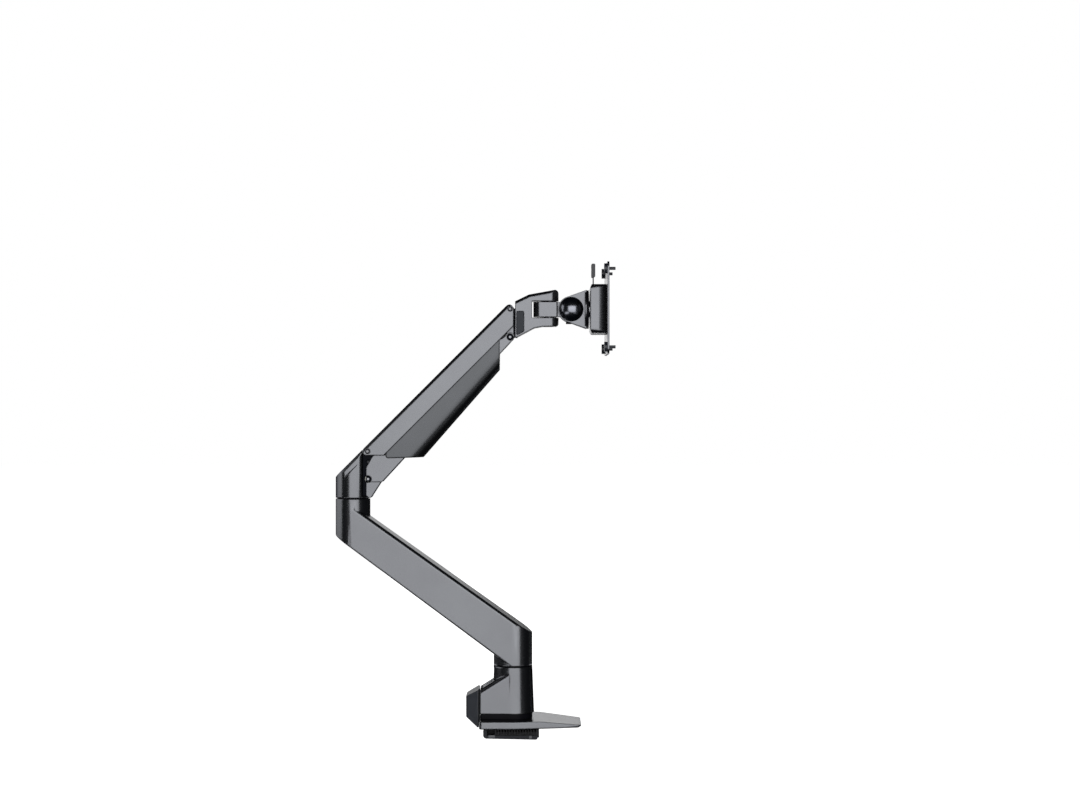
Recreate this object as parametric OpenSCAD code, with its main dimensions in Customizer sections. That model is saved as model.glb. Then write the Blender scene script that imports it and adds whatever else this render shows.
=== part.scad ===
// Desk-clamped monitor arm: folded lower arm, sprung parallelogram upper arm,
// swivel, tilt and rotation head with a quick-release plate.
// X points from the elbow towards the screen, Z up, Y across the arm.
// Origin: the base swivel axis where the base stands on the desk.

/* [Base and clamp] */
// Half width of the base plate
plate_half_w = 45; // [42:1:50]
// Reach of the base plate's tongue in front of the column
plate_front = 88; // [80:1:95]
// Half width of the clamp jaw
jaw_half_w = 30; // [26:1:32]
// Gap between the jaw and the base plate when closed
jaw_gap = 2.5; // [2.3:0.1:4]

/* [Lower arm] */
// Distance between the base axis and the elbow axis
arm_reach = 208; // [200:1:216]
// Radius of the lower arm at the base
base_end_r = 25; // [24:0.5:26]
// Radius of the lower arm and the shoulder at the elbow
elbow_r = 22.4; // [22.2:0.1:23]
// Wall thickness of the lower arm casting
arm_wall = 4; // [3:0.5:5]

/* [Upper arm] */
// Distance between the pivots of each link
link_len = 260; // [250:1:270]
// Height between the two pivots at each end of the links
link_gap = 36; // [35:0.5:37]
// Half width of the upper link over its cheeks
link_half_w = 20.5; // [20:0.5:22]
// Thickness of the upper link's cheeks
cheek_t = 4; // [3.5:0.5:4]

/* [Head] */
// Distance from the front link pivots to the head's swivel axis
swivel_reach = 49.9; // [48:0.5:52]
// Distance from the swivel axis to the tilt axis
tilt_reach = 29.1; // [29:0.5:31]
// Radius of the domed caps on the tilt axle
dome_r = 16; // [15:0.5:16.5]
// Side of the square screen plate
vesa_side = 118; // [112:1:122]

/* [Hidden] */
$fn = 96;
run_fit = 0.05;      // radial clearance of every shaft in its bush
body_gap = 0.3;      // gap between pieces that move past each other

charcoal = [0.25, 0.26, 0.28];
dark = [0.12, 0.13, 0.15];
black = [0.05, 0.05, 0.06];
steel = [0.68, 0.69, 0.71];
bronze = [0.55, 0.45, 0.28];
nylon = [0.82, 0.82, 0.78];
light = [0.55, 0.56, 0.58];

// Base heights
pad_t = 1.2;
plate_low = 0.2;
plate_top = 9.5;
base_screw = [12, 15.5];
plinth_top = 16.5;
base_seam = 77;
housing_top = base_seam - 0.6;
washer_t = 1;
hub_bottom = housing_top + washer_t + body_gap;

// Clamp: the jaw's leg stands behind the desk edge, the screw just in front of it
leg_x = -38;
leg_t = 4;
leg_half_w = 17;
screw_x = -28.5;
clamp_r = 4;
nut_h = 7;
nut_top = 40;
nut_half_w = 8;
jaw_travel = 32;
jaw_top = -jaw_gap;
jaw_bottom = -15.4;
jaw_front = 34;
pad_h = 7.5;

// Base spindle
spindle_r = 12;
bush_t = 2;
hub_r = 17;
hub_top = 112;

// Lower arm planes, each as height at the base axis and fall per mm
arm_top_z = 137.4;
arm_top_fall = 0.71;
arm_low_z = 75.6;
arm_low_fall = 0.743;
elbow_x = -arm_reach;
elbow_seam = 293.8;
arm_end_z = elbow_seam - 0.6;
shoulder_z = arm_end_z + washer_t + body_gap;
elbow_spindle_r = 10;
elbow_bush_r = 12;
elbow_cap_z = 310;

// Link pivots as [x, z]
lift = 45;
a_pin = [elbow_x + 20.6, elbow_seam + 61.1];
b_pin = a_pin + link_len * [cos(lift), sin(lift)];
c_pin = a_pin - [0, link_gap];
d_pin = b_pin - [0, link_gap];
pin_r = 3;
low_pin_r = 2.4;
bush_r = 4.5;

// Widths across the upper arm, from the middle outwards
tab_half_w = 9.2;
fork_inner = 4.5;
low_inner = 9.5;
low_outer = 13;
shroud_inner = 13.3;
shroud_outer = 16.2;
cheek_inner = link_half_w - cheek_t;

// Upper link section
link_top = 6.4;
link_skin = 3;
link_low = -18.5;
edge_cut = 3.6;

// Gas strut, inside the upper link and parallel to it
anchor_arm = 14;
strut_w = -11.95;
strut_r = 8.5;
rod_r = 4;
tube_start = 36;
tube_end = 206;
front_eye_u = 218;

// Head
swivel_x = b_pin.x + swivel_reach;
tilt_x = swivel_x + tilt_reach;
head_z = b_pin.y;
slot_low = head_z - 10.9;
slot_high = head_z + 10.5;
tongue_half_w = 11;
tongue_low = slot_low + 1.1;
tongue_high = slot_high - 1;
eye_half_w = 8;
ear_outer = 12;
flange_x = tilt_x + 19.9;
disc_t = 3;
hub_gap = 1.3;
block_x = flange_x + disc_t + hub_gap + 0.1;
block_t = 20.8;
block_half = 31.9;
block_mid_z = head_z - 0.2;
bolt_end = block_x + 15;
pull_x = block_x + 4.5;
chamber_low = block_mid_z + 12;
chamber_high = block_mid_z + 25;
hook_y = [-18, 18];
plate_t = 2.5;
vesa_pitch = 100;
vesa_small = 75;
stud_r = 2;
collar_r = 2.6;

// Rounds the corner b between a and c; b is [x, y, radius]
function unit(v) = v / norm(v);
function flat(p) = [p.x, p.y];
function corner(a, b, c, steps = 6) =
  let (q = flat(b), u = unit(flat(a) - q), v = unit(flat(c) - q), half = acos(u * v) / 2)
  b[2] == 0 ? [q] :
  let (mid = q + unit(u + v) * b[2] / sin(half),
       s = q + u * b[2] / tan(half) - mid,
       e = q + v * b[2] / tan(half) - mid,
       from = atan2(s.y, s.x),
       turn = (atan2(e.y, e.x) - from + 540) % 360 - 180)
  [for (i = [0:steps]) mid + b[2] * [cos(from + turn * i / steps), sin(from + turn * i / steps)]];
function rounded(pts) =
  [for (i = [0:len(pts) - 1]) each corner(pts[(i + len(pts) - 1) % len(pts)], pts[i], pts[(i + 1) % len(pts)])];
// A point u along a link and w above it, measured from the link's lower pivot
function on_link(u, w) = [u * cos(lift) - w * sin(lift), u * sin(lift) + w * cos(lift)];
function with_r(p, r) = [p.x, p.y, r];

// A side profile in X and Z, extruded across the arm
module slab(half_w, pts) {
  rotate([90, 0, 0]) linear_extrude(2 * half_w, center = true) polygon(rounded(pts));
}
// The same profile as two plates, one on each side
module slabs(inner, outer, pts) {
  for (side = [-1, 1])
    translate([0, side * (inner + outer) / 2, 0]) slab((outer - inner) / 2, pts);
}
// Moves to a point [x, z] in the middle plane
module at(p) {
  translate([p.x, 0, p.y]) children();
}
// A cylinder across the arm
module cross_rod(p, r, half_len) {
  at(p) rotate([90, 0, 0]) cylinder(h = 2 * half_len, r = r, center = true);
}
// Two rings or discs across the arm, from inner to outer on both sides
module cross_rods(p, r, inner, outer) {
  for (side = [-1, 1])
    at(p) translate([0, side * (inner + outer) / 2, 0])
      rotate([90, 0, 0]) cylinder(h = outer - inner, r = r, center = true);
}
// A cylinder along X
module x_rod(p, r, length) {
  at(p) rotate([0, 90, 0]) cylinder(h = length, r = r);
}
// A cross-section in Y and height, extruded along X
module bar(length, pts) {
  rotate([90, 0, 90]) linear_extrude(length) polygon(pts);
}
// A box centred across the arm, from x0 to x1 and z0 to z1
module block(x0, x1, half_w, z0, z1) {
  translate([x0, -half_w, z0]) cube([x1 - x0, 2 * half_w, z1 - z0]);
}
// A long prism from x0 to x1 whose section is rounded above, and below if a low edge is given.
// tops and lows are the heights of those edges at both ends.
module crowned(x0, x1, half0, half1, tops, r, lows = [-200, -200], r_low = 0) {
  hull() for (end = [[x0, half0, tops[0], lows[0]], [x1, half1, tops[1], lows[1]]])
    translate([end[0], 0, 0]) bar(0.01, rounded([
      [-end[1], end[3], r_low], [end[1], end[3], r_low], [end[1], end[2], r], [-end[1], end[2], r]]));
}
// Works in the frame of a link, X along it, from its pivot p
module along_link(p) {
  at(p) rotate([0, -lift, 0]) children();
}
// Outline of the upper link and the shoulder's top edge, with its cut corners
function roof(half_w, top, low, cut) = [
  [-half_w, low], [half_w, low], [half_w, top - cut],
  [half_w - cut, top], [-half_w + cut, top], [-half_w, top - cut]];

// ---- Base and clamp

module plate_plan(inset) {
  tip_w = 31 - inset;
  rear = -43 + inset;
  front = plate_front - inset;
  polygon(rounded([
    [rear, -plate_half_w + inset, 4], [3, -plate_half_w + inset, 0], [front, -tip_w, 5],
    [front, tip_w, 5], [3, plate_half_w - inset, 0], [rear, plate_half_w - inset, 4]]));
}
// Shaft through plate, plinth and housing for the leg and its nut
module clamp_shaft(z0, z1) {
  block(leg_x - body_gap, leg_x + leg_t + body_gap, leg_half_w + body_gap, z0, z1);
  block(leg_x + leg_t, screw_x + 6.3, nut_half_w + body_gap, z0, z1);
}
module pad_plan(inset) intersection() {
  plate_plan(inset);
  translate([screw_x + 8, -60]) square([120, 120]);
}
module at_base_screws() {
  for (side = [-1, 1]) translate([base_screw.x, side * base_screw.y, 0]) children();
}
module base_plate() color(charcoal) difference() {
  intersection() {
    linear_extrude(plate_top) plate_plan(0);
    slab(plate_half_w + 1, [
      [-50, plate_low, 0], [62, plate_low, 0], [plate_front + 1, 1.7, 0], [plate_front + 1, 3.6, 0],
      [35, plate_top, 0], [-50, plate_top, 0]]);
  }
  // sides of the tongue, which lean inwards going down
  for (side = [-1, 1]) translate([3, side * plate_half_w, plate_top])
    rotate([0, 0, -side * atan2(plate_half_w - 31, plate_front - 3)]) rotate([side * 9, 0, 0])
      translate([0, side * 20 - 20, -30]) cube([110, 40, 31]);
  // recess that holds the pad
  translate([0, 0, -1]) linear_extrude(pad_t + 1) pad_plan(2.2);
  clamp_shaft(-1, plate_top + 1);
  at_base_screws() {
    translate([0, 0, -1]) cylinder(h = 20, r = 3.1);
    translate([0, 0, -1]) cylinder(h = 5.4, r = 5.6);
  }
}
module desk_pad() color(black) difference() {
  linear_extrude(pad_t) pad_plan(2.3);
  at_base_screws() translate([0, 0, -1]) cylinder(h = 5, r = 5.6);
}
module base_plate_screws() color(steel) at_base_screws() {
  translate([0, 0, 1.4]) cylinder(h = 3, r = 5.2);
  translate([0, 0, 4.4]) cylinder(h = 22, r = 3);
}
module base_plinth() color(black) difference() {
  translate([0, 0, plate_top]) linear_extrude(plinth_top - plate_top) {
    circle(r = 25.2);
    polygon(rounded([[-41.6, -23.4, 2], [0, -25.2, 0], [0, 25.2, 0], [-41.6, 23.4, 2]]));
  }
  clamp_shaft(0, 30);
  at_base_screws() cylinder(h = 30, r = 3);
}
module base_housing() color(charcoal) difference() {
  union() {
    translate([0, 0, plinth_top]) cylinder(h = housing_top - plinth_top, r1 = 27.4, r2 = 25.1);
    intersection() {
      slab(30, [[-42, plinth_top, 0], [-42, 46.8, 0], [-4, 70.6, 0], [-4, plinth_top, 0]]);
      linear_extrude(90) polygon([[-42, -25], [0, -26.6], [0, 26.6], [-42, 25]]);
      crowned(-60, 24.4, 24.36, 27.58, [35.58, 88.44], 5.6);
    }
  }
  clamp_shaft(0, nut_top + 0.5);
  block(-50, leg_x, leg_half_w + body_gap, 0, nut_top + 0.5);
  // journal, head pocket and flat seat of the clamp screw
  translate([screw_x, 0, 30]) cylinder(h = 20, r = clamp_r + run_fit);
  translate([screw_x, 0, 44.3]) cylinder(h = 30, r = 6.5);
  access_patch(1.2, 0);
  translate([0, 0, 30]) cylinder(h = 60, r = spindle_r);
  at_base_screws() cylinder(h = 26.5, r = 3);
}
// Shallow rectangle on the slanted top of the housing
module access_patch(depth, inset) {
  slope = atan2(70.6 - 46.8, 38);
  translate([-42, 0, 46.8]) rotate([0, -slope, 0])
    translate([3 + inset, -12 + inset, -depth]) cube([20 - 2 * inset, 24 - 2 * inset, depth + 0.001]);
}
module screw_access_plate() color(light) difference() {
  access_patch(1.2, 0.1);
  translate([screw_x, 0, 40]) cylinder(h = 30, r = 6.5);
}
// Outline of the rear cover from above: a narrow neck, then sides that close in
module cover_plan(wall) {
  polygon(rounded([
    [-43.1 + wall, wall - 15, 0], [-44.6 - wall, wall - 15, 0], [-44.6 - wall, wall - 24, 0.8],
    [-60.5 + wall, wall - 17.6, 4], [-60.5 + wall, 17.6 - wall, 4], [-44.6 - wall, 24 - wall, 0.8],
    [-44.6 - wall, 15 - wall, 0], [-43.1 + wall, 15 - wall, 0]]));
}
module rear_cover() color(dark) difference() {
  intersection() {
    slab(30, [[-43.1, -2.6, 0], [-60.5, 12.3, 2], [-60.5, 38.8, 1.5], [-43.1, 48.3, 0]]);
    translate([0, 0, -5]) linear_extrude(70) cover_plan(0);
  }
  intersection() {
    slab(30, [[-40, -2.3, 0], [-58, 13, 1], [-58, 37.6, 1], [-40, 47.4, 0]]);
    translate([0, 0, -5]) linear_extrude(70) cover_plan(2.2);
  }
}
module base_spindle() color(steel) difference() {
  translate([0, 0, 30]) cylinder(h = hub_top + body_gap - 30, r = spindle_r);
  translate([0, 0, hub_top - 30]) cylinder(h = 60, r = 4);
}
module base_thrust_washer() color(black) translate([0, 0, housing_top]) difference() {
  cylinder(h = washer_t, r = 23);
  translate([0, 0, -1]) cylinder(h = 3, r = spindle_r);
}
module base_cap_washer() color(steel) translate([0, 0, hub_top + body_gap]) difference() {
  cylinder(h = 2, r = 15.5);
  translate([0, 0, -1]) cylinder(h = 4, r = 4);
}
module base_cap_bolt() color(steel) translate([0, 0, hub_top + body_gap]) difference() {
  union() {
    translate([0, 0, -29]) cylinder(h = 31, r = 4);
    translate([0, 0, 2]) cylinder(h = 5, r = 6.5);
  }
  translate([0, 0, 4]) cylinder(h = 5, r = 3.4, $fn = 6);
}

module clamp_jaw() color(dark) difference() {
  union() {
    slab(jaw_half_w, [
      [leg_x, jaw_top, 1.5], [leg_x, jaw_bottom + 1.5, 4.5], [jaw_front - 2, jaw_bottom, 2.2],
      [jaw_front - 2, -12.6, 0], [jaw_front, -12.6, 0.8], [jaw_front, jaw_top - pad_h, 0],
      [leg_x + 5, jaw_top - pad_h, 0], [leg_x + 5, jaw_top, 1.5]]);
    block(leg_x, leg_x + leg_t, leg_half_w, jaw_top - pad_h - 1, nut_top);
  }
  jaw_stop_blocks(1);
}
module jaw_pad() color(black) {
  rib = 1.8;
  pitch = 3.5;
  count = 15;
  x0 = -22.8;
  half_w = jaw_half_w - 0.6;
  block(x0, x0 + count * pitch + rib + 1.6, half_w - 2, jaw_top - pad_h, jaw_top - 3.4);
  block(leg_x + 5.4, x0 + 1, 18, jaw_top - pad_h, jaw_top - 1);
  block(x0 + count * pitch, x0 + count * pitch + rib + 1.6, half_w, jaw_top - pad_h, jaw_top);
  for (i = [0:count - 1])
    block(x0 + i * pitch, x0 + i * pitch + rib, half_w, jaw_top - pad_h, jaw_top);
}
// Small lighter blocks let into both sides of the jaw
module jaw_stop_blocks(proud) {
  for (y = [jaw_half_w - 1.4, -jaw_half_w - proud]) {
    translate([-31.2, y, -13]) cube([8.4, 1.4 + proud, 3.4]);
    translate([21, y, -14]) cube([3.7, 1.4 + proud, 3.9]);
  }
}
module jaw_stops() color(light) jaw_stop_blocks(0.3);
module clamp_nut() color(bronze) difference() {
  block(leg_x + leg_t, screw_x + 6, nut_half_w, nut_top - nut_h, nut_top);
  translate([screw_x, 0, 0]) cylinder(h = 60, r = clamp_r + run_fit);
}
module clamp_screw() color(steel) difference() {
  union() {
    translate([screw_x, 0, pad_t + 0.4]) cylinder(h = 44.6 - pad_t - 0.4, r = clamp_r);
    translate([screw_x, 0, 44.6]) cylinder(h = 5, r = 6);
  }
  translate([screw_x, 0, 46.6]) cylinder(h = 5, r = 2.9, $fn = 6);
}

// ---- Lower arm

module arm_plan(inset) {
  r1 = base_end_r - inset;
  r2 = elbow_r - inset;
  lean = (base_end_r - elbow_r) / arm_reach;
  circle(r = r1);
  translate([elbow_x, 0]) circle(r = r2);
  polygon([
    [r1 * lean, r1], [elbow_x + r2 * lean, r2], [elbow_x + r2 * lean, -r2], [r1 * lean, -r1]]);
}
function arm_half(x) = base_end_r + 0.05 + (base_end_r - elbow_r) / arm_reach * x;
function arm_top(x) = arm_top_z - arm_top_fall * x;
function arm_low(x) = arm_low_z - arm_low_fall * x;
module lower_arm() color(charcoal) difference() {
  left = elbow_x - elbow_r - 1;
  right = base_end_r + 1;
  union() {
    difference() {
      intersection() {
        linear_extrude(400) arm_plan(0);
        crowned(-260, 60, arm_half(-260), arm_half(60), [arm_top(-260) + 0.2, arm_top(60) + 0.2],
          6, [arm_low(-260) - 1.1, arm_low(60)], 2.8);
        slab(40, [
          [left, arm_end_z, 0], [left, arm_low(left) - 0.7, 9],
          [(arm_low_z - hub_bottom) / arm_low_fall, hub_bottom, 0], [right, hub_bottom, 0],
          [right, arm_top(right), 4], [(arm_top_z - arm_end_z) / arm_top_fall, arm_end_z, 0]]);
      }
      // hollow, open underneath where the cable cover goes
      intersection() {
        linear_extrude(400) arm_plan(arm_wall);
        slab(40, [
          [-186, arm_low(-186) - 20, 0], [right, arm_low(right) - 20, 0],
          [right, arm_top(right) - arm_wall * 1.23, 0], [-186, arm_top(-186) - arm_wall * 1.23, 0]]);
        block(-186, 40, 30, hub_bottom + 5, 400);
      }
    }
    translate([0, 0, hub_bottom]) cylinder(h = 5, r = base_end_r);
    // skirt of the round hub below the slanted underside
    intersection() {
      translate([0, 0, hub_bottom]) difference() {
        cylinder(h = 30, r = base_end_r);
        translate([0, 0, 4]) cylinder(h = 40, r = base_end_r - arm_wall);
      }
      slab(40, [
        [-40, 0, 0], [40, 0, 0], [40, arm_low(-40) + 3, 0], [-40, arm_low(-40) + 3, 0]]);
    }
    translate([0, 0, hub_bottom]) cylinder(h = hub_top - hub_bottom, r = hub_r);
    translate([elbow_x, 0, 262]) cylinder(h = arm_end_z - 262, r = elbow_r);
  }
  translate([0, 0, 60]) cylinder(h = 60, r = spindle_r + bush_t);
  translate([elbow_x, 0, 258]) cylinder(h = 60, r = elbow_spindle_r);
}
module cable_cover() color(dark) {
  x0 = -182;
  x1 = -30;
  intersection() {
    linear_extrude(400) arm_plan(arm_wall + 0.2);
    slab(40, [
      [x0, arm_low(x0) + 0.1, 0], [x1, arm_low(x1) + 0.1, 0],
      [x1, arm_low(x1) + 2.8, 0], [x0, arm_low(x0) + 2.8, 0]]);
  }
}
module base_bushes() color(nylon)
  for (z = [hub_bottom, hub_top - 12]) translate([0, 0, z]) difference() {
    cylinder(h = 12, r = spindle_r + bush_t);
    translate([0, 0, -1]) cylinder(h = 14, r = spindle_r + run_fit);
  }
module elbow_spindle() color(steel) difference() {
  translate([elbow_x, 0, 258]) cylinder(h = elbow_cap_z + body_gap - 258, r = elbow_spindle_r);
  translate([elbow_x, 0, 285]) cylinder(h = 40, r = 3.5);
}
module elbow_thrust_washer() color(black) translate([elbow_x, 0, arm_end_z]) difference() {
  cylinder(h = washer_t, r = 20.5);
  translate([0, 0, -1]) cylinder(h = 3, r = elbow_spindle_r);
}
module elbow_cap_washer() color(steel) translate([elbow_x, 0, elbow_cap_z + body_gap]) difference() {
  cylinder(h = 2, r = 12.3);
  translate([0, 0, -1]) cylinder(h = 4, r = 3.5);
}
module elbow_cap_bolt() color(steel) translate([elbow_x, 0, elbow_cap_z + body_gap]) difference() {
  union() {
    translate([0, 0, -24]) cylinder(h = 26, r = 3.5);
    translate([0, 0, 2]) cylinder(h = 4.5, r = 5.8);
  }
  translate([0, 0, 4]) cylinder(h = 5, r = 2.9, $fn = 6);
}

// ---- Shoulder

module shoulder() color(charcoal) difference() {
  union() {
    intersection() {
      translate([elbow_x, 0, shoulder_z]) cylinder(h = 80, r = elbow_r);
      union() {
        along_link(a_pin) translate([-80, 0, 0]) bar(160, roof(link_half_w, link_top, -60, edge_cut));
        along_link(a_pin) block(-80, 80, 30, -80, -3);
      }
      union() {
        block(-300, a_pin.x - 7.6, 30, 0, 500);
        block(-300, 0, 30, 0, shoulder_z + 2.2);
      }
    }
    // inner block and plates that carry the link pivots
    slab(tab_half_w, [
      [a_pin.x - 10, shoulder_z, 0], [a_pin.x + 3.4, shoulder_z, 1],
      [a_pin.x + 17.2, c_pin.y - 3, 1.5], [a_pin.x - 10, c_pin.y - 3, 0]]);
    slabs(fork_inner, tab_half_w, [
      [a_pin.x - 10, shoulder_z + 2, 0], [a_pin.x + 5, shoulder_z + 2, 0], [a_pin.x + 5, a_pin.y, 0],
      [a_pin.x, a_pin.y + 5, 3], [a_pin.x - 10, a_pin.y - 5, 0]]);
    cross_rods(a_pin, 5.2, fork_inner, tab_half_w);
    cross_rods(c_pin, 6.4, fork_inner, tab_half_w);
  }
  cross_rod(a_pin, bush_r, 30);
  cross_rod(c_pin, bush_r, 30);
  cross_rod(a_pin - [0, anchor_arm], 2.5, 30);
  translate([elbow_x, 0, shoulder_z - 1]) cylinder(h = elbow_cap_z - shoulder_z + 2, r = elbow_bush_r);
  translate([elbow_x, 0, elbow_cap_z]) cylinder(h = 9, r = elbow_bush_r + 0.7);
  // space for the strut's rod end between the plates
  block(a_pin.x - 8, a_pin.x + 20, fork_inner, c_pin.y + 6.4, a_pin.y + 12);
}
module elbow_bush() color(nylon) translate([elbow_x, 0, shoulder_z]) difference() {
  cylinder(h = elbow_cap_z - shoulder_z, r = elbow_bush_r);
  translate([0, 0, -1]) cylinder(h = 40, r = elbow_spindle_r + run_fit);
}
module shoulder_pin_bushes() color(nylon) {
  difference() {
    cross_rods(a_pin, bush_r, fork_inner, tab_half_w);
    cross_rod(a_pin, pin_r + run_fit, 30);
  }
  difference() {
    cross_rods(c_pin, bush_r, fork_inner, tab_half_w);
    cross_rod(c_pin, low_pin_r + run_fit, 30);
  }
}
module strut_anchor_pin() color(steel) cross_rod(a_pin - [0, anchor_arm], 2.5, tab_half_w);

// ---- Upper link and gas strut

module upper_link() color(charcoal) {
  link_channel();
  strut_hanger();
}
module link_channel() difference() {
  intersection() {
    at(a_pin) slab(link_half_w + 1, [
      with_r(on_link(-6, link_top), 5.4),
      with_r(on_link(-6.4, -1.1), 5.2),
      with_r(on_link(11, link_low), 1.5),
      with_r(on_link(link_len - 12.3, link_low), 2),
      with_r(on_link(link_len + 12.6, link_top), 5.4)]);
    along_link(a_pin) translate([-20, 0, 0]) bar(link_len + 40, roof(link_half_w, link_top, -60, edge_cut));
  }
  along_link(a_pin) {
    // channel, open underneath
    translate([-20, 0, 0]) bar(link_len + 40, roof(cheek_inner, link_top - link_skin, -60, 2));
    // slots in the top for the shoulder and the front bracket
    block(-20, 9, tab_half_w + 0.4, -10, 20);
    block(link_len - 10, link_len + 20, tab_half_w + 0.4, -10, 20);
    // hole over the tension screw
    translate([front_eye_u + 2, 0, 0]) cylinder(h = 20, r = 4.5);
  }
  cross_rod(a_pin, pin_r, 30);
  cross_rod(b_pin, pin_r, 30);
}
// Hanger under the top of the upper link that holds the strut's front pin
module strut_hanger() {
  along_link(a_pin) difference() {
    slabs(4.9, 9.1, [
      [front_eye_u - 8, link_top - link_skin, 0], [front_eye_u - 7, strut_w - 6, 4],
      [front_eye_u + 7, strut_w - 6, 4], [front_eye_u + 10, link_top - link_skin, 0]]);
    cross_rod([front_eye_u, strut_w], pin_r, 20);
  }
}
module upper_link_pins() color(steel) {
  cross_rod(a_pin, pin_r, link_half_w + 0.4);
  cross_rod(b_pin, pin_r, link_half_w + 0.4);
}
module gas_strut_tube() color(dark) along_link(a_pin) at([0, strut_w]) difference() {
  x_rod([tube_start, 0], strut_r, tube_end - tube_start);
  x_rod([tube_start - 1, 0], strut_r - 1.5, tube_end - tube_start - 4);
}
module strut_gland() color(black) along_link(a_pin) at([0, strut_w]) difference() {
  x_rod([tube_start + 1, 0], strut_r - 1.5, 12);
  x_rod([tube_start, 0], rod_r + run_fit, 20);
}
module strut_front_eye() color(steel) along_link(a_pin) difference() {
  union() {
    x_rod([tube_end, strut_w], 4.2, 8);
    cross_rod([front_eye_u, strut_w], 6.5, 4.6);
  }
  cross_rod([front_eye_u, strut_w], pin_r, 20);
}
module strut_front_pin() color(steel) along_link(a_pin) cross_rod([front_eye_u, strut_w], pin_r, 9.1);
module tension_screw() color(steel) along_link(a_pin) translate([front_eye_u + 2, 0, 0]) difference() {
  union() {
    translate([0, 0, -4.6]) cylinder(h = 5.6, r = 2.4);
    translate([0, 0, 1]) cylinder(h = 4.6, r = 4.2);
  }
  translate([0, 0, 3]) cylinder(h = 5, r = 2, $fn = 6);
}
// Slot of the rod end, long enough across the rod for the anchor pin's drift
rod_end_u = -anchor_arm * sin(lift);
rod_slot = 2.8;
module strut_rod() color(steel) along_link(a_pin) at([0, strut_w]) {
  x_rod([rod_end_u + 6, 0], rod_r, 106);
  x_rod([rod_end_u + 110, 0], strut_r - 1.5 - run_fit, 6);
}
module strut_rod_end() color(dark) along_link(a_pin) difference() {
  slab(4.2, [
    [rod_end_u - 5.5, strut_w - 7, 4], [rod_end_u + 6, strut_w - 7, 3],
    [rod_end_u + 6, strut_w + 7, 3], [rod_end_u - 5.5, strut_w + 7, 4]]);
  for (end = [-1, 1]) cross_rod([rod_end_u, strut_w + end * rod_slot], 3.4, 10);
  block(rod_end_u - 3.4, rod_end_u + 3.4, 10, strut_w - rod_slot, strut_w + rod_slot);
}

// ---- Lower link and shroud

low_taper_start = [18, -4];
low_taper_end = on_link(link_len - 4, -5);
module lower_link() color(charcoal) difference() {
  at(c_pin) slab(low_outer, [
    [-2.6, -4, 1], with_r(low_taper_start, 1), with_r(low_taper_end, 3),
    with_r(on_link(link_len + 5.6, -4), 4), with_r(on_link(link_len + 5.6, 5), 4),
    with_r(on_link(link_len - 8, 6), 4), with_r(on_link(link_len - 22, 13), 4),
    with_r(on_link(46, 13), 4), [22.4, 31.6, 0], [6.8, 31.6, 5], [-2.6, 15.1, 6]]);
  // channel between the side walls, open on top and at both ends
  at(c_pin) slab(low_inner, [
    with_r(on_link(-20, -40), 0), with_r(on_link(20, -40), 0),
    with_r(on_link(20, -15.6 + 3.6), 0), with_r(on_link(link_len - 16, -5.4 + 3), 0),
    with_r(on_link(link_len - 16, -40), 0), with_r(on_link(link_len + 30, -40), 0),
    with_r(on_link(link_len + 30, 60), 0), with_r(on_link(-20, 60), 0)]);
  for (p = [c_pin, d_pin]) {
    cross_rod(p, low_pin_r, 30);
    cross_rods(p, 4.2, low_outer - 1, low_outer + 1);
  }
  shroud_screw_holes(1.2);
}
module lower_link_pins() color(steel) for (p = [c_pin, d_pin]) {
  cross_rod(p, low_pin_r, low_outer - 0.5);
  cross_rods(p, 2.9, low_outer - 1, low_outer);
}
shroud_screw_u = [70, 205];
module shroud_screw_holes(r) {
  for (u = shroud_screw_u) cross_rods(c_pin + on_link(u, 9.5), r, low_inner - 1, shroud_outer + 1);
}
// Underside of the shroud, measured from the lower link's line
shroud_taper = 0.067;
function shroud_low(u) = -29.2 + shroud_taper * (u - 90.5);
shroud_left = 23;
shroud_right = 170.2;
function shroud_corner(x) =
  let (u = (x * sqrt(2) - 29.2 - shroud_taper * 90.5) / (1 - shroud_taper))
  on_link(u, shroud_low(u));
module shroud_section(inner) {
  half = inner == 0 ? shroud_outer : shroud_inner;
  r = half - 0.3;
  along_link(c_pin) at([0, shroud_low(0)]) rotate([0, -atan(shroud_taper), 0])
    translate([-20, 0, inner]) bar(340, rounded([
      [-half, 0, r], [half, 0, r], [half, 80, 0], [-half, 80, 0]]));
}
module shroud() color(charcoal) difference() {
  tip = [71.9, 28.2];
  top_w = 17.5;
  intersection() {
    shroud_section(0);
    at(c_pin) slab(30, [
      [shroud_left, 26.8, 3], with_r(tip, 1), [tip.x + 12, tip.y - 6, 0],
      [shroud_right, 110, 0], [shroud_right, shroud_right + top_w * sqrt(2), 3],
      [shroud_left, shroud_left + top_w * sqrt(2), 2]]);
  }
  intersection() {
    shroud_section(2.8);
    union() {
      at(c_pin) slab(30, [
        [shroud_left + 20, 31, 0], [tip.x + 4, 31, 0], [shroud_right - 3, 100, 0],
        [shroud_right - 3, 260, 0], [shroud_left + 20, 260, 0]]);
      // way through for the lower link
      at(c_pin) slab(30, [
        with_r(on_link(-10, -16.6), 0), with_r(on_link(link_len + 20, -5.2), 0),
        with_r(on_link(link_len + 20, 80), 0), with_r(on_link(-10, 80), 0)]);
    }
  }
  shroud_screw_holes(1.2);
}
module shroud_screws() color(dark) for (u = shroud_screw_u)
  cross_rods(c_pin + on_link(u, 9.5), 1.2, low_inner + 0.2, shroud_outer);

// ---- Front bracket

front_half_w = 13;
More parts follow.
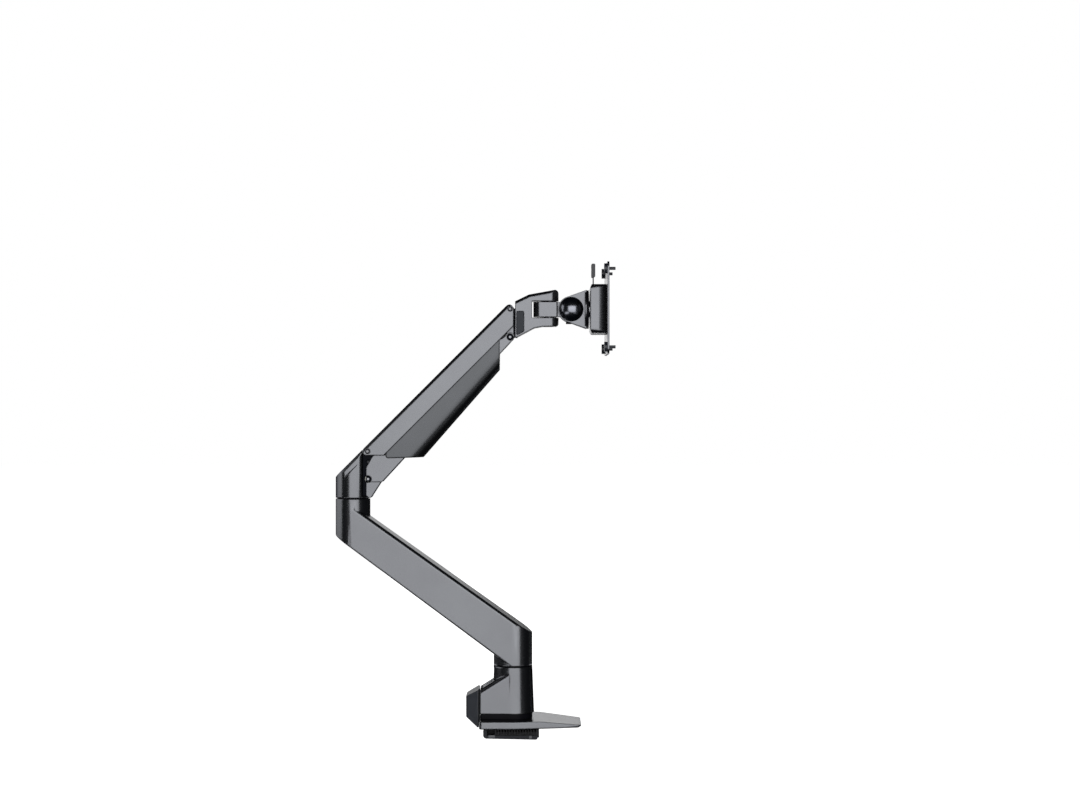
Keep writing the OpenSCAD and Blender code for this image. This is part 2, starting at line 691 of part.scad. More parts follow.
// Everything under a bevelled surface that runs through p and q
module under_roof(p, q) {
  at(p) rotate([0, -atan2(q.y - p.y, q.x - p.x), 0]) translate([-90, 0, 0])
    bar(200, roof(front_half_w + 0.5, 0, -150, 3.9));
}
module front_bracket() color(charcoal) difference() {
  rear_x = b_pin.x + 6.4;
  union() {
    intersection() {
      linear_extrude(700) {
        translate([swivel_x, 0]) circle(r = front_half_w);
        translate([rear_x, -front_half_w]) square([swivel_x - rear_x, 2 * front_half_w]);
      }
      at(b_pin) slab(20, [
        [6.4, -37.6, 1.5], [31.3, -24.3, 8], [42, -22.3, 8], [swivel_reach + 13, -22.1, 4],
        [swivel_reach + 13, 26.2, 5], [54.2, 24.63, 0], [50, 30, 0], [6.4, 30, 0]]);
      under_roof(b_pin + [24.3, 19.1], b_pin + [54.2, 24.5]);
      under_roof(b_pin + [6.4, 10.4], b_pin + [24.3, 19.1]);
    }
    // tab between the links that carries their front pivots
    slab(tab_half_w, [
      [b_pin.x - 4.8, d_pin.y, 0], [rear_x + 3, d_pin.y - 1, 0], [rear_x + 3, b_pin.y + 1.4, 0],
      [b_pin.x - 4.8, b_pin.y, 0]]);
    cross_rod(b_pin, 5, tab_half_w);
    cross_rod(d_pin, 5.2, tab_half_w);
  }
  // slot for the swivel tongue
  block(swivel_x - 21.5, swivel_x + 30, 30, slot_low, slot_high);
  // bolt of the swivel: head pocket underneath, blind bore on top
  translate([swivel_x, 0, 0]) cylinder(h = head_z + 18, r = 5);
  translate([swivel_x, 0, 0]) cylinder(h = head_z - 17, r = 7.8);
  cross_rod(b_pin, bush_r, 30);
  cross_rod(d_pin, low_pin_r + 0.35, 30);
  insert_pocket(0);
}
// Recess on each side behind the link ends
module insert_pocket(gap) {
  slabs(front_half_w - 1.2, front_half_w + (gap > 0 ? 0 : 1), [
    with_r(b_pin + [8.4 + gap, -33.5 + gap], 1), with_r(b_pin + [17.6 - gap, -28.6 + gap], 1),
    with_r(b_pin + [17.6 - gap, -3 - gap], 1), with_r(b_pin + [8.4 + gap, -3 - gap], 1)]);
}
module bracket_inserts() color(dark) insert_pocket(0.1);
module bracket_bush() color(nylon) difference() {
  cross_rod(b_pin, bush_r, tab_half_w);
  cross_rod(b_pin, pin_r + run_fit, 30);
}
module head_swivel_bolt() color(steel) translate([swivel_x, 0, 0]) difference() {
  union() {
    translate([0, 0, head_z - 21.6]) cylinder(h = 4.6, r = 7.5);
    translate([0, 0, head_z - 17]) cylinder(h = 34.5, r = 5);
  }
  translate([0, 0, head_z - 23]) cylinder(h = 4, r = 3.4, $fn = 6);
}
module swivel_washers() color(black) for (z = [slot_low, slot_high - 0.6])
  translate([swivel_x, 0, z]) difference() {
    cylinder(h = 0.6, r = 10);
    translate([0, 0, -1]) cylinder(h = 3, r = 5);
  }

// ---- Head

module swivel_tongue() color(charcoal) difference() {
  union() {
    intersection() {
      translate([0, 0, tongue_low]) linear_extrude(tongue_high - tongue_low)
        polygon(rounded([
          [swivel_x - 19.9, -tongue_half_w, 9.4], [swivel_x + 11.3, -tongue_half_w, 2],
          [swivel_x + 11.3, -eye_half_w, 0], [tilt_x, -eye_half_w, 0], [tilt_x, eye_half_w, 0],
          [swivel_x + 11.3, eye_half_w, 0], [swivel_x + 11.3, tongue_half_w, 2],
          [swivel_x - 19.9, tongue_half_w, 9.4]]));
      block(0, tilt_x, 30, 0, 900);
    }
    cross_rod([tilt_x, head_z], 12, eye_half_w);
  }
  translate([swivel_x, 0, 0]) cylinder(h = 900, r = 7);
  cross_rod([tilt_x, head_z], 5 + run_fit, 30);
  translate([tilt_x - 3, 0, head_z - 30]) cylinder(h = 24, r = 2.5 + run_fit);
}
module tongue_bush() color(nylon) translate([swivel_x, 0, tongue_low]) difference() {
  cylinder(h = tongue_high - tongue_low, r = 7);
  translate([0, 0, -1]) cylinder(h = 40, r = 5 + run_fit);
}
module tilt_tension_screw() color(black) translate([tilt_x - 3, 0, head_z - 18.8]) difference() {
  union() {
    cylinder(h = 4.4, r = 3.7);
    cylinder(h = 12, r = 2.5);
  }
  translate([0, 0, -1]) cylinder(h = 3, r = 1.8, $fn = 6);
}
module tilt_bracket() color(charcoal) difference() {
  union() {
    slabs(eye_half_w + body_gap, ear_outer, [
      [tilt_x - 7, head_z - 15.4, 0], [flange_x, head_z - 25, 0], [flange_x, head_z + 25, 0],
      [tilt_x - 7, head_z + 15.4, 0]]);
    cross_rods([tilt_x, head_z], 17, eye_half_w + body_gap, ear_outer);
    block(flange_x - 4, flange_x, ear_outer, head_z - 23, head_z + 23);
    x_rod([flange_x - 2, head_z], 25, 2);
  }
  cross_rod([tilt_x, head_z], 5, 30);
  x_rod([tilt_x, head_z], 5 + run_fit, 60);
}
module tilt_axle() color(steel) cross_rod([tilt_x, head_z], 5, ear_outer);
module tilt_domes() color(black) {
  dome_h = 11;
  sphere_r = (dome_r * dome_r + dome_h * dome_h) / (2 * dome_h);
  at([tilt_x, head_z]) for (side = [-1, 1]) intersection() {
    translate([0, side * (ear_outer + dome_h - sphere_r), 0]) sphere(r = sphere_r);
    translate([0, side * (ear_outer + 20), 0]) cube([80, 40, 80], center = true);
  }
}
module pivot_disc() color(black) difference() {
  x_rod([flange_x, head_z], 25, disc_t);
  x_rod([flange_x - 1, head_z], 5 + run_fit, 10);
}
module quick_release_block() color(charcoal) difference() {
  intersection() {
    slab(block_half, [
      [block_x, block_mid_z - block_half + 4.5, 1], [block_x + 2, block_mid_z - block_half, 1.5],
      [block_x + block_t, block_mid_z - block_half, 0.5], [block_x + block_t, block_mid_z + block_half, 0.5],
      [block_x + 2, block_mid_z + block_half, 1.5], [block_x, block_mid_z + block_half - 4.5, 1]]);
    translate([0, 0, block_mid_z]) rotate([90, 0, 90]) linear_extrude(300) polygon(rounded([
      [-block_half, -block_half, 7], [block_half, -block_half, 7],
      [block_half, block_half, 7], [-block_half, block_half, 7]]));
    // sides that curve in towards the plate
    linear_extrude(900) polygon([for (side = [-1, 1], i = [0:5])
      let (step = side < 0 ? i : 5 - i, at = step == 0 ? -1 : 4 + 3.36 * step)
      [block_x + at, side * (block_half + 0.2 - 0.22 * pow(max(0, step - 1), 1.9))]]);
  }
  x_rod([0, head_z], 5, bolt_end);
  x_rod([block_x - 1, head_z], 11.4, 3);
  // shaft and chamber of the release pull, open towards the plate
  translate([pull_x, 0, block_mid_z + 20]) cylinder(h = 60, r = 1.4);
  block(pull_x - 3.5, block_x + block_t + 1, 7.3, chamber_low, chamber_high);
  // pockets that the plate hangs in
  for (y = hook_y) translate([0, y, 0]) {
    block(block_x + block_t - 4, block_x + block_t + 1, 4.3, head_z - 2, head_z + 18);
    block(block_x + block_t - 4, block_x + block_t - 1.7, 4.3, head_z - 6.3, head_z);
  }
}
module rotation_hub() color(steel) difference() {
  x_rod([flange_x + disc_t + body_gap, head_z], 11.3, block_x + 1.6 - flange_x - disc_t - body_gap);
  x_rod([0, head_z], 5, 300);
}
module rotation_bolt() color(steel) {
  x_rod([flange_x - 5, head_z], 5, bolt_end - flange_x + 5);
  x_rod([flange_x - 6.7, head_z], 7.6, 2.4);
}
module release_spring() color(steel) {
  turns = 7;
  wire_r = 0.45;
  low = chamber_low + 1.9 + wire_r;
  pitch = (chamber_high - wire_r - low) / (turns - 1);
  for (i = [0:turns - 1])
    translate([pull_x, 0, low + i * pitch]) rotate_extrude() translate([2.6, 0]) circle(r = wire_r);
}
module release_pull() color(dark) {
  translate([pull_x, 0, chamber_low + 1]) cylinder(h = block_mid_z + 50 - chamber_low, r = 0.8);
  block(pull_x - 3.2, block_x + block_t - 0.3, 7, chamber_low + 0.4, chamber_low + 1.9);
  slab(7, [
    [pull_x - 2.5, block_mid_z + 41, 1.2], [pull_x + 2.5, block_mid_z + 43, 1],
    [pull_x + 2.5, block_mid_z + 59.5, 1.5], [pull_x - 2.5, block_mid_z + 59.5, 1.5]]);
}
module corners(pitch) {
  for (y = [-1, 1], z = [-1, 1])
    translate([0, y * pitch / 2, head_z + z * pitch / 2]) children();
}
module vesa_plate() color(charcoal) {
  x0 = block_x + block_t + body_gap;
  difference() {
    translate([x0, 0, head_z]) rotate([90, 0, 90]) linear_extrude(plate_t) polygon(rounded([
      [-vesa_side / 2, -vesa_side / 2, 8], [vesa_side / 2, -vesa_side / 2, 8],
      [vesa_side / 2, vesa_side / 2, 8], [-vesa_side / 2, vesa_side / 2, 8]]));
    corners(vesa_pitch) rotate([0, 90, 0]) cylinder(h = 400, r = collar_r);
    corners(vesa_small) rotate([0, 90, 0]) cylinder(h = 400, r = 2.25);
  }
  // hooks that hang in the block's pockets
  for (y = hook_y) translate([0, y, 0]) {
    block(x0 - 4, x0 + 1, 4, head_z - 1.7, head_z + 4);
    block(x0 - 4, x0 - 2.5, 4, head_z - 6, head_z - 1);
  }
}
module thumb_screws() color(dark) {
  x0 = block_x + block_t + body_gap;
  corners(vesa_pitch) {
    translate([x0 - 4, 0, 0]) rotate([0, 90, 0]) cylinder(h = 4, r = 6.5);
    translate([x0 - 1, 0, 0]) rotate([0, 90, 0]) cylinder(h = plate_t + 1, r = collar_r);
    translate([x0, 0, 0]) rotate([0, 90, 0]) cylinder(h = plate_t + 8, r = stud_r);
  }
}

base_plate();
desk_pad();
base_plinth();
base_housing();
rear_cover();
screw_access_plate();
base_plate_screws();
base_spindle();
base_thrust_washer();
base_cap_washer();
base_cap_bolt();
clamp_jaw();
jaw_pad();
jaw_stops();
clamp_nut();
clamp_screw();
lower_arm();
cable_cover();
base_bushes();
elbow_spindle();
elbow_thrust_washer();
elbow_cap_washer();
elbow_cap_bolt();
shoulder();
elbow_bush();
shoulder_pin_bushes();
strut_anchor_pin();
upper_link();
upper_link_pins();
gas_strut_tube();
strut_gland();
strut_front_eye();
strut_front_pin();
tension_screw();
strut_rod();
strut_rod_end();
lower_link();
lower_link_pins();
shroud();
shroud_screws();
front_bracket();
bracket_inserts();
bracket_bush();
head_swivel_bolt();
swivel_washers();
swivel_tongue();
tongue_bush();
tilt_tension_screw();
tilt_bracket();
tilt_axle();
tilt_domes();
pivot_disc();
quick_release_block();
rotation_hub();
rotation_bolt();
release_spring();
release_pull();
vesa_plate();
thumb_screws();
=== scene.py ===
import math

import bpy
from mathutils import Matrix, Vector


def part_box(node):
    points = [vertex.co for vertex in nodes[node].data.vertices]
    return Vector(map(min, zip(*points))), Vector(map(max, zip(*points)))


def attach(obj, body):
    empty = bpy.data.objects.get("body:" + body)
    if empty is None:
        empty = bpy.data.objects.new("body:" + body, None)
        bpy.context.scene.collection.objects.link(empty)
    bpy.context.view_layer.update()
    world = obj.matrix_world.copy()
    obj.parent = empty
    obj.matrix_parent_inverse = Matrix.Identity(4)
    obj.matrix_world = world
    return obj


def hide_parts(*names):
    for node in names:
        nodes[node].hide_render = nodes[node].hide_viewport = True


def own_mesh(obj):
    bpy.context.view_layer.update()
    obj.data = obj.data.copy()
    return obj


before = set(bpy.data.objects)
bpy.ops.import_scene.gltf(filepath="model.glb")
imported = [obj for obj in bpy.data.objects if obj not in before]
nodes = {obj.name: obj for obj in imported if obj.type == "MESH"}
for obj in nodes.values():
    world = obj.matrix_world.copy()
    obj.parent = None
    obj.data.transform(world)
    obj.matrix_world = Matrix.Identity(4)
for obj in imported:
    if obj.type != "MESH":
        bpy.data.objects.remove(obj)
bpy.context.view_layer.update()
scene = bpy.context.scene


# ---- Shaders

class Graph:
    """A material's node tree, with the surface's own coordinates ready to use."""

    def __init__(self, name):
        self.mat = bpy.data.materials.new(name)
        self.mat.use_nodes = True
        self.tree = self.mat.node_tree
        self.tree.nodes.clear()
        out = self.add("ShaderNodeOutputMaterial")
        self.shader = self.add("ShaderNodeBsdfPrincipled")
        self.link(self.shader.outputs["BSDF"], out.inputs["Surface"])
        self.coords = self.add("ShaderNodeTexCoord").outputs["Object"]
        self.round = None

    def add(self, kind, **values):
        node = self.tree.nodes.new(kind)
        for key, value in values.items():
            setattr(node, key, value)
        return node

    def link(self, a, b):
        self.tree.links.new(a, b)

    def combine(self, operation, a, b):
        node = self.add("ShaderNodeMath", operation=operation)
        self.link(a, node.inputs[0])
        self.link(b, node.inputs[1])
        return node.outputs["Value"]

    def vector(self, operation, a, by=None):
        """A vector node that works on output a, and on the fixed vector by where it needs one."""
        node = self.add("ShaderNodeVectorMath", operation=operation)
        self.link(a, node.inputs[0])
        if by is not None:
            node.inputs[1].default_value = by
        return node.outputs

    def noise(self, scale, detail=2.0, rough=0.5, stretch=(1, 1, 1)):
        """Grain of about 1 / scale metres, drawn out along the axes with a small stretch."""
        place = self.add("ShaderNodeMapping")
        place.inputs["Scale"].default_value = stretch
        self.link(self.coords, place.inputs["Vector"])
        node = self.add("ShaderNodeTexNoise")
        node.inputs["Scale"].default_value = scale
        node.inputs["Detail"].default_value = detail
        node.inputs["Roughness"].default_value = rough
        self.link(place.outputs["Vector"], node.inputs["Vector"])
        return node.outputs["Fac"]

    def cells(self, scale):
        """Rounded pits or pimples of about 1 / scale metres."""
        node = self.add("ShaderNodeTexVoronoi")
        node.inputs["Scale"].default_value = scale
        self.link(self.coords, node.inputs["Vector"])
        return node.outputs["Distance"]

    def from_axis(self, centres):
        """Distance in metres from the nearest of some lines along Y."""
        flat = self.vector("MULTIPLY", self.coords, (1, 0, 1))["Vector"]
        gaps = [self.vector("DISTANCE", flat, (x, 0, z))["Value"] for x, z in centres]
        nearest = gaps[0]
        for gap in gaps[1:]:
            nearest = self.combine("MINIMUM", nearest, gap)
        return nearest

    def outside(self, middle, half):
        """0 inside a box given by its middle and half size, 1 outside it."""
        place = self.vector("SUBTRACT", self.coords, middle)["Vector"]
        size = self.vector("ABSOLUTE", place)["Vector"]
        over = self.vector("SUBTRACT", size, half)["Vector"]
        parts = self.add("ShaderNodeSeparateXYZ")
        self.link(over, parts.inputs[0])
        most = parts.outputs["X"]
        for axis in "YZ":
            most = self.combine("MAXIMUM", most, parts.outputs[axis])
        return self.span(most, 0, 1, -0.0001, 0.0001)

    def span(self, value, low, high, start=0.3, stop=0.7):
        """value between start and stop, spread from low to high."""
        node = self.add("ShaderNodeMapRange")
        node.inputs["From Min"].default_value = start
        node.inputs["From Max"].default_value = stop
        node.inputs["To Min"].default_value = low
        node.inputs["To Max"].default_value = high
        self.link(value, node.inputs["Value"])
        return node.outputs["Result"]

    def ramp(self, value, dark, light, start=0.3, stop=0.7):
        node = self.add("ShaderNodeValToRGB")
        node.color_ramp.elements[0].position = start
        node.color_ramp.elements[0].color = (*dark, 1)
        node.color_ramp.elements[1].position = stop
        node.color_ramp.elements[1].color = (*light, 1)
        self.link(value, node.inputs["Fac"])
        return node.outputs["Color"]

    def between(self, value, dark, light):
        """dark, a fixed colour, where value is 0, and light, an output, where it is 1."""
        node = self.add("ShaderNodeMix", data_type="RGBA")
        node.inputs[6].default_value = (*dark, 1)
        self.link(value, node.inputs["Factor"])
        self.link(light, node.inputs[7])
        return node.outputs[2]

    def round_edges(self, radius):
        """Normals that turn through each edge, for every bump made after this."""
        node = self.add("ShaderNodeBevel", samples=8)
        node.inputs["Radius"].default_value = radius
        self.round = node.outputs["Normal"]

    def bump(self, height, depth, strength=1.0, under=None):
        """Relief of a height in metres, laid over the normals of another bump or of the edges."""
        node = self.add("ShaderNodeBump")
        node.inputs["Strength"].default_value = strength
        node.inputs["Distance"].default_value = depth
        self.link(height, node.inputs["Height"])
        base = self.round if under is None else under
        if base is not None:
            self.link(base, node.inputs["Normal"])
        self.link(node.outputs["Normal"], self.shader.inputs["Normal"])
        return node.outputs["Normal"]

    def surface(self, color, rough, **constants):
        self.link(color, self.shader.inputs["Base Color"])
        self.link(rough, self.shader.inputs["Roughness"])
        for key, value in constants.items():
            self.shader.inputs[key.replace("_", " ")].default_value = value


def round_ends(node):
    """Centre in X and Z, and radius, of each separate piece of a node of round pins along Y."""
    mesh = nodes[node].data
    home = {}

    def root(key):
        while home[key] != key:
            key = home[key]
        return key

    keys = [tuple(round(c, 6) for c in v.co) for v in mesh.vertices]
    for key in keys:
        home.setdefault(key, key)
    for a, b in mesh.edge_keys:
        first, second = root(keys[a]), root(keys[b])
        home[max(first, second)] = min(first, second)
    groups = {}
    for key in home:
        groups.setdefault(root(key), []).append(key)
    ends = set()
    for points in groups.values():
        low = [min(p[i] for p in points) for i in (0, 2)]
        high = [max(p[i] for p in points) for i in (0, 2)]
        centre = tuple(round((a + b) / 2, 5) for a, b in zip(low, high))
        ends.add((centre, round((high[0] - low[0]) / 2, 5)))
    return sorted(ends)


# ---- Finishes: colours are linear, from a darker to a lighter patch of the same material

COAT_DARK = (0.097, 0.099, 0.106)
COAT_LIGHT = (0.104, 0.107, 0.114)
# Black painted as shade, in gaps between parts and round pins
PAINTED_SHADE_BLACK = (0.002, 0.0022, 0.003)


def powder_coat(name, edge, dark=COAT_DARK, light=COAT_LIGHT, rough=0.22, rim=1.0, painted_shade_rings=None, painted_shade_boxes=()):
    """Satin metallic powder coat: a fine orange peel over a slightly uneven colour.

    edge is how far from an edge its rounding starts. rim is its gloss where the surface turns
    away: 0 leaves a dark outline. The node of pins and radius that follow rim give a black ring of
    painted shade round each pin. The boxes given last are places between parts where black shade is painted.
    """
    peel_depth = 0.00009
    g = Graph(name)
    g.round_edges(edge)
    cloud = g.noise(22, 3)
    peel = g.noise(1500, 2.5)
    g.bump(peel, peel_depth, 0.15, g.bump(g.noise(420, 1), peel_depth * 1.5, 0.1))
    color = g.ramp(cloud, dark, light)
    # Painted shade: a black ring round each pin
    if painted_shade_rings:
        pins, radius = painted_shade_rings
        out = g.from_axis([place for place, _ in round_ends(pins)])
        color = g.between(g.span(out, 0, 1, radius - 0.0001, radius + 0.0003), PAINTED_SHADE_BLACK, color)
    # Painted shade: black inside each box, between parts
    for middle, half in painted_shade_boxes:
        color = g.between(g.outside(middle, half), PAINTED_SHADE_BLACK, color)
    g.surface(color, g.span(peel, rough - 0.03, rough + 0.03), Metallic=0.96,
              Specular_Tint=(rim, rim, rim, 1))
    return g.mat


def moulded(name, dark, light, rough, ior=1.47, grain=1900):
    """Injection-moulded plastic with a fine spark-eroded grain."""
    g = Graph(name)
    g.round_edges(0.001)
    fine = g.noise(grain, 3, 0.65)
    g.bump(fine, 0.00012, 0.3)
    g.surface(g.ramp(g.noise(35, 2), dark, light), g.span(fine, rough - 0.06, rough + 0.06), IOR=ior)
    return g.mat


def plated(name, dark, light, rough, stretch=(1, 1, 1)):
    """Zinc-plated or brushed metal, with fine scratches along the short stretch."""
    g = Graph(name)
    scratch = g.noise(2600, 2, 0.6, stretch)
    g.bump(scratch, 0.00003, 0.35)
    g.surface(g.ramp(g.noise(90, 3), dark, light), g.span(scratch, rough - 0.08, rough + 0.08),
              Metallic=1.0)
    return g.mat


def pin_steel(name, node, groove, face, dark):
    """Blackened pins along Y: a turned face in face's colour inside a ring that is sunk by bump and painted
    dark as the shade in its groove.

    groove is where the ring starts and ends, as shares of the smallest pin's radius.
    """
    g = Graph(name)
    pins = round_ends(node)
    out = g.from_axis([place for place, _ in pins])
    radius = min(size for _, size in pins)
    inside = g.span(out, 1, 0, groove[0] * radius - 0.0002, groove[0] * radius + 0.0001)
    outside = g.span(out, 0, 1, groove[1] * radius - 0.0001, groove[1] * radius + 0.0002)
    land = g.combine("MAXIMUM", inside, outside)
    turning = g.add("ShaderNodeTexNoise", noise_dimensions="1D")
    turning.inputs["Scale"].default_value = 9000
    g.link(out, turning.inputs["W"])
    g.bump(land, 0.0004, 0.8, g.bump(turning.outputs["Fac"], 0.00002, 0.4))
    # Painted shade: the ring's dark colour stands for the shade in its groove, on top of its bump
    g.surface(g.ramp(land, dark, face, 0.1, 0.9), g.span(turning.outputs["Fac"], 0.27, 0.35),
              Metallic=0.95)
    return g.mat


def rubber(name, dark, light):
    """Soft rubber with a dimpled, dusty skin."""
    g = Graph(name)
    pits = g.cells(900)
    g.bump(pits, 0.00012, 0.5)
    g.surface(g.ramp(g.noise(60, 4), dark, light), g.span(pits, 0.62, 0.85, 0, 0.6), IOR=1.45)
    return g.mat


def polished(name, dark, light):
    """Dark chrome with a tint of navy and the faint ripple of its mould."""
    g = Graph(name)
    g.bump(g.noise(160, 1), 0.00004, 0.15)
    g.surface(g.ramp(g.noise(50, 2), dark, light), g.span(g.noise(700, 2), 0.19, 0.25), Metallic=1.0)
    return g.mat


# Gaps between the links' plates, where black is painted as the shade seen behind them: middle, half size
low_x, low_z = min(round_ends("lower_link_pins"))[0]
high_x, high_z = max(round_ends("upper_link_pins"))[0]
GAP_HALF_WIDTH = 0.0098
ELBOW_PAINTED_SHADE = [((low_x - 0.0062, 0, low_z), (0.0040, GAP_HALF_WIDTH, 0.08)),
              ((low_x + 0.0020, 0, low_z + 0.0300), (0.0122, GAP_HALF_WIDTH, 0.0240))]
BRACKET_PAINTED_SHADE = [((high_x + 0.0053, 0, high_z), (0.0013, GAP_HALF_WIDTH, 0.05))]

# The finish of each material slot
FINISH = {
    "cast": powder_coat("charcoal_powder_coat", 0.0024),
    "dark_plastic": moulded("dark_moulded_plastic", (0.012, 0.014, 0.019), (0.018, 0.021, 0.027), 0.34, 1.4),
    "black": moulded("black_plastic", (0.002, 0.002, 0.003), (0.004, 0.004, 0.006), 0.5, 1.15),
    "pad": rubber("black_rubber", (0.004, 0.004, 0.005), (0.010, 0.010, 0.012)),
    "gloss": polished("gloss_navy_black", (0.13, 0.135, 0.155), (0.15, 0.155, 0.175)),
    "steel": plated("zinc_plated_steel", (0.30, 0.31, 0.32), (0.38, 0.39, 0.41), 0.30),
    "dark_steel": powder_coat("dark_coated_steel", 0.0006, (0.050, 0.053, 0.060), (0.060, 0.063, 0.071), 0.3),
    "bronze": plated("bronze", (0.33, 0.22, 0.10), (0.47, 0.33, 0.16), 0.3, (1, 1, 0.1)),
    "nylon": moulded("natural_nylon", (0.42, 0.42, 0.38), (0.50, 0.50, 0.46), 0.5, 1.5, 1200),
    "light_plastic": moulded("light_grey_plastic", (0.20, 0.21, 0.23), (0.26, 0.27, 0.29), 0.42),
}
# The nodes that differ from their slot's finish
FINE_COAT = powder_coat("fine_powder_coat", 0.0013)
FINISH_OF = {
    "vesa_plate": FINE_COAT,
    "swivel_tongue": FINE_COAT,
    "tilt_bracket": FINE_COAT,
    # Painted shade: a black ring round each of the lower link's pins
    "lower_link": powder_coat("link_coat_with_painted_shade", 0.0022, painted_shade_rings=("lower_link_pins", 0.0043)),
    # Painted shade: black in the gaps between the elbow's plates
    "shoulder": powder_coat("shoulder_coat_with_painted_shade", 0.0022, rim=0.2, painted_shade_boxes=ELBOW_PAINTED_SHADE),
    "lower_arm": powder_coat("arm_powder_coat", 0.0024, rim=0.5),
    "base_housing": powder_coat("housing_powder_coat", 0.0024, rim=0),
    "upper_link": powder_coat("channel_powder_coat", 0.0024, rim=0.3),
    # Painted shade: black in the gap behind the bracket's plates
    "front_bracket": powder_coat("bracket_coat_with_painted_shade", 0.0022, painted_shade_boxes=BRACKET_PAINTED_SHADE),
    "shroud": powder_coat("satin_shell", 0.003, (0.052, 0.054, 0.057), (0.056, 0.058, 0.062), 0.27, rim=0),
    "clamp_jaw": moulded("jaw_plastic", (0.008, 0.009, 0.012), (0.012, 0.013, 0.017), 0.34, 1.22),
    "bracket_inserts": moulded("insert_plastic", (0.005, 0.008, 0.013), (0.008, 0.011, 0.018), 0.3, 1.27),
    "upper_link_pins": pin_steel("ringed_pins", "upper_link_pins", (0.62, 0.86), (0.108, 0.11, 0.116),
                                 (0.012, 0.013, 0.017)),
    "lower_link_pins": pin_steel("rimmed_pins", "lower_link_pins", (0.60, 1.2), (0.15, 0.153, 0.16),
                                 (0.004, 0.005, 0.008)),
    "strut_anchor_pin": pin_steel("anchor_pin", "strut_anchor_pin", (0.60, 1.2), (0.02, 0.02, 0.023),
                                  (0.004, 0.005, 0.006)),
    "jaw_stops": moulded("grey_stops", (0.05, 0.052, 0.058), (0.07, 0.073, 0.08), 0.42),
}


# ---- The release pull's return spring, coiled

def coil(name, middle, radius, wire, low, high, turns):
    """A helix of round wire of radius wire about an upright axis, with its ends inside low and high."""
    around, sides = 28, 10
    steps = turns * around
    rise = (high - low - 2 * wire) / steps
    points = []
    for i in range(steps + 1):
        turn = 2 * math.pi * i / around
        for k in range(sides):
            swing = 2 * math.pi * k / sides
            out = radius + wire * math.cos(swing)
            points.append((middle[0] + out * math.cos(turn), middle[1] + out * math.sin(turn),
                           low + wire + i * rise + wire * math.sin(swing)))
    faces = []
    for start in range(0, steps * sides, sides):
        for k in range(sides):
            after = (k + 1) % sides
            faces.append((start + k, start + sides + k, start + sides + after, start + after))
    faces += [tuple(range(sides)), tuple(steps * sides + k for k in reversed(range(sides)))]
    mesh = bpy.data.meshes.new(name)
    mesh.from_pydata(points, [], faces)
    mesh.shade_smooth()
    obj = bpy.data.objects.new(name, mesh)
    scene.collection.objects.link(obj)
    return obj


SPRING_WIRE = 0.00045
SPRING_TURNS = 7
spring_low, spring_high = (Vector(v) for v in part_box("release_spring"))
spring_mid = (spring_low + spring_high) / 2
spring = coil("release_coil", spring_mid, (spring_high.x - spring_low.x) / 2 - SPRING_WIRE, SPRING_WIRE,
              spring_low.z, spring_high.z, SPRING_TURNS)
spring.data.materials.append(FINISH["steel"])
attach(spring, "quick_release")
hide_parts("release_spring")
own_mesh(spring)


# ---- Edges: round each sharp edge of a casting or moulding by a few tenths of a millimetre

# Width of the rounding by material slot, and for the nodes that differ
SOFT_EDGE = {"cast": 0.0007, "dark_plastic": 0.0006, "black": 0.0003, "pad": 0.0003, "steel": 0.00025,
             "dark_steel": 0.0004, "bronze": 0.0003, "nylon": 0.0002, "light_plastic": 0.0003}
EDGE_OF = {"tilt_domes": 0, "release_spring": 0, "gas_strut_tube": 0.0003, "bracket_inserts": 0.0002,
           "jaw_stops": 0.0002, "vesa_plate": 0.0003}
FLAT_WITHIN = math.radians(0.3)
SHARP_FROM = math.radians(28)


def soften(obj, width):
    weld = obj.modifiers.new("weld", "WELD")
    weld.merge_threshold = 0.000002
    flat = obj.modifiers.new("flat_faces", "DECIMATE")
    flat.decimate_type = "DISSOLVE"
    flat.angle_limit = FLAT_WITHIN
    if width:
        bevel = obj.modifiers.new("soft_edges", "BEVEL")
        bevel.width = width
        bevel.segments = 3
        bevel.limit_method = "ANGLE"
        bevel.angle_limit = SHARP_FROM
        bevel.harden_normals = False
        bevel.use_clamp_overlap = True
        bevel.miter_outer = "MITER_ARC"
    smooth = obj.modifiers.new("smooth_normals", "WEIGHTED_NORMAL")
    smooth.keep_sharp = False
    smooth.weight = 80


for node, obj in sorted(nodes.items()):
    slot = obj.data.materials[0].name.split(".")[0]
    obj.data.materials[0] = FINISH_OF.get(node, FINISH[slot])
    obj.data.shade_smooth()
    soften(obj, EDGE_OF.get(node, SOFT_EDGE.get(slot, 0)))


# ---- Camera: level, square to the arm's side and far away, as in the photo

CAMERA_PLACE = Vector((0.0351, -2.450, 0.4147))
CAMERA_LENS = 62.8


def aim(obj, place, target):
    obj.location = place
    obj.rotation_euler = (Vector(target) - Vector(place)).to_track_quat("-Z", "Y").to_euler()
    scene.collection.objects.link(obj)
    return obj


camera = bpy.data.cameras.new("camera")
camera.sensor_width = 36
camera.lens = CAMERA_LENS
camera.clip_start = 0.05
camera.clip_end = 60
scene.camera = aim(bpy.data.objects.new("camera", camera), CAMERA_PLACE, CAMERA_PLACE + Vector((0, 1, 0)))


# ---- Studio light: soft panels, which the camera doesn't see, around a dim room

def ring_place(angle, distance, height):
    """angle 0 is the camera's side, 90 the left of the picture."""
    a = math.radians(angle)
    return (-distance * math.sin(a), -distance * math.cos(a), height)


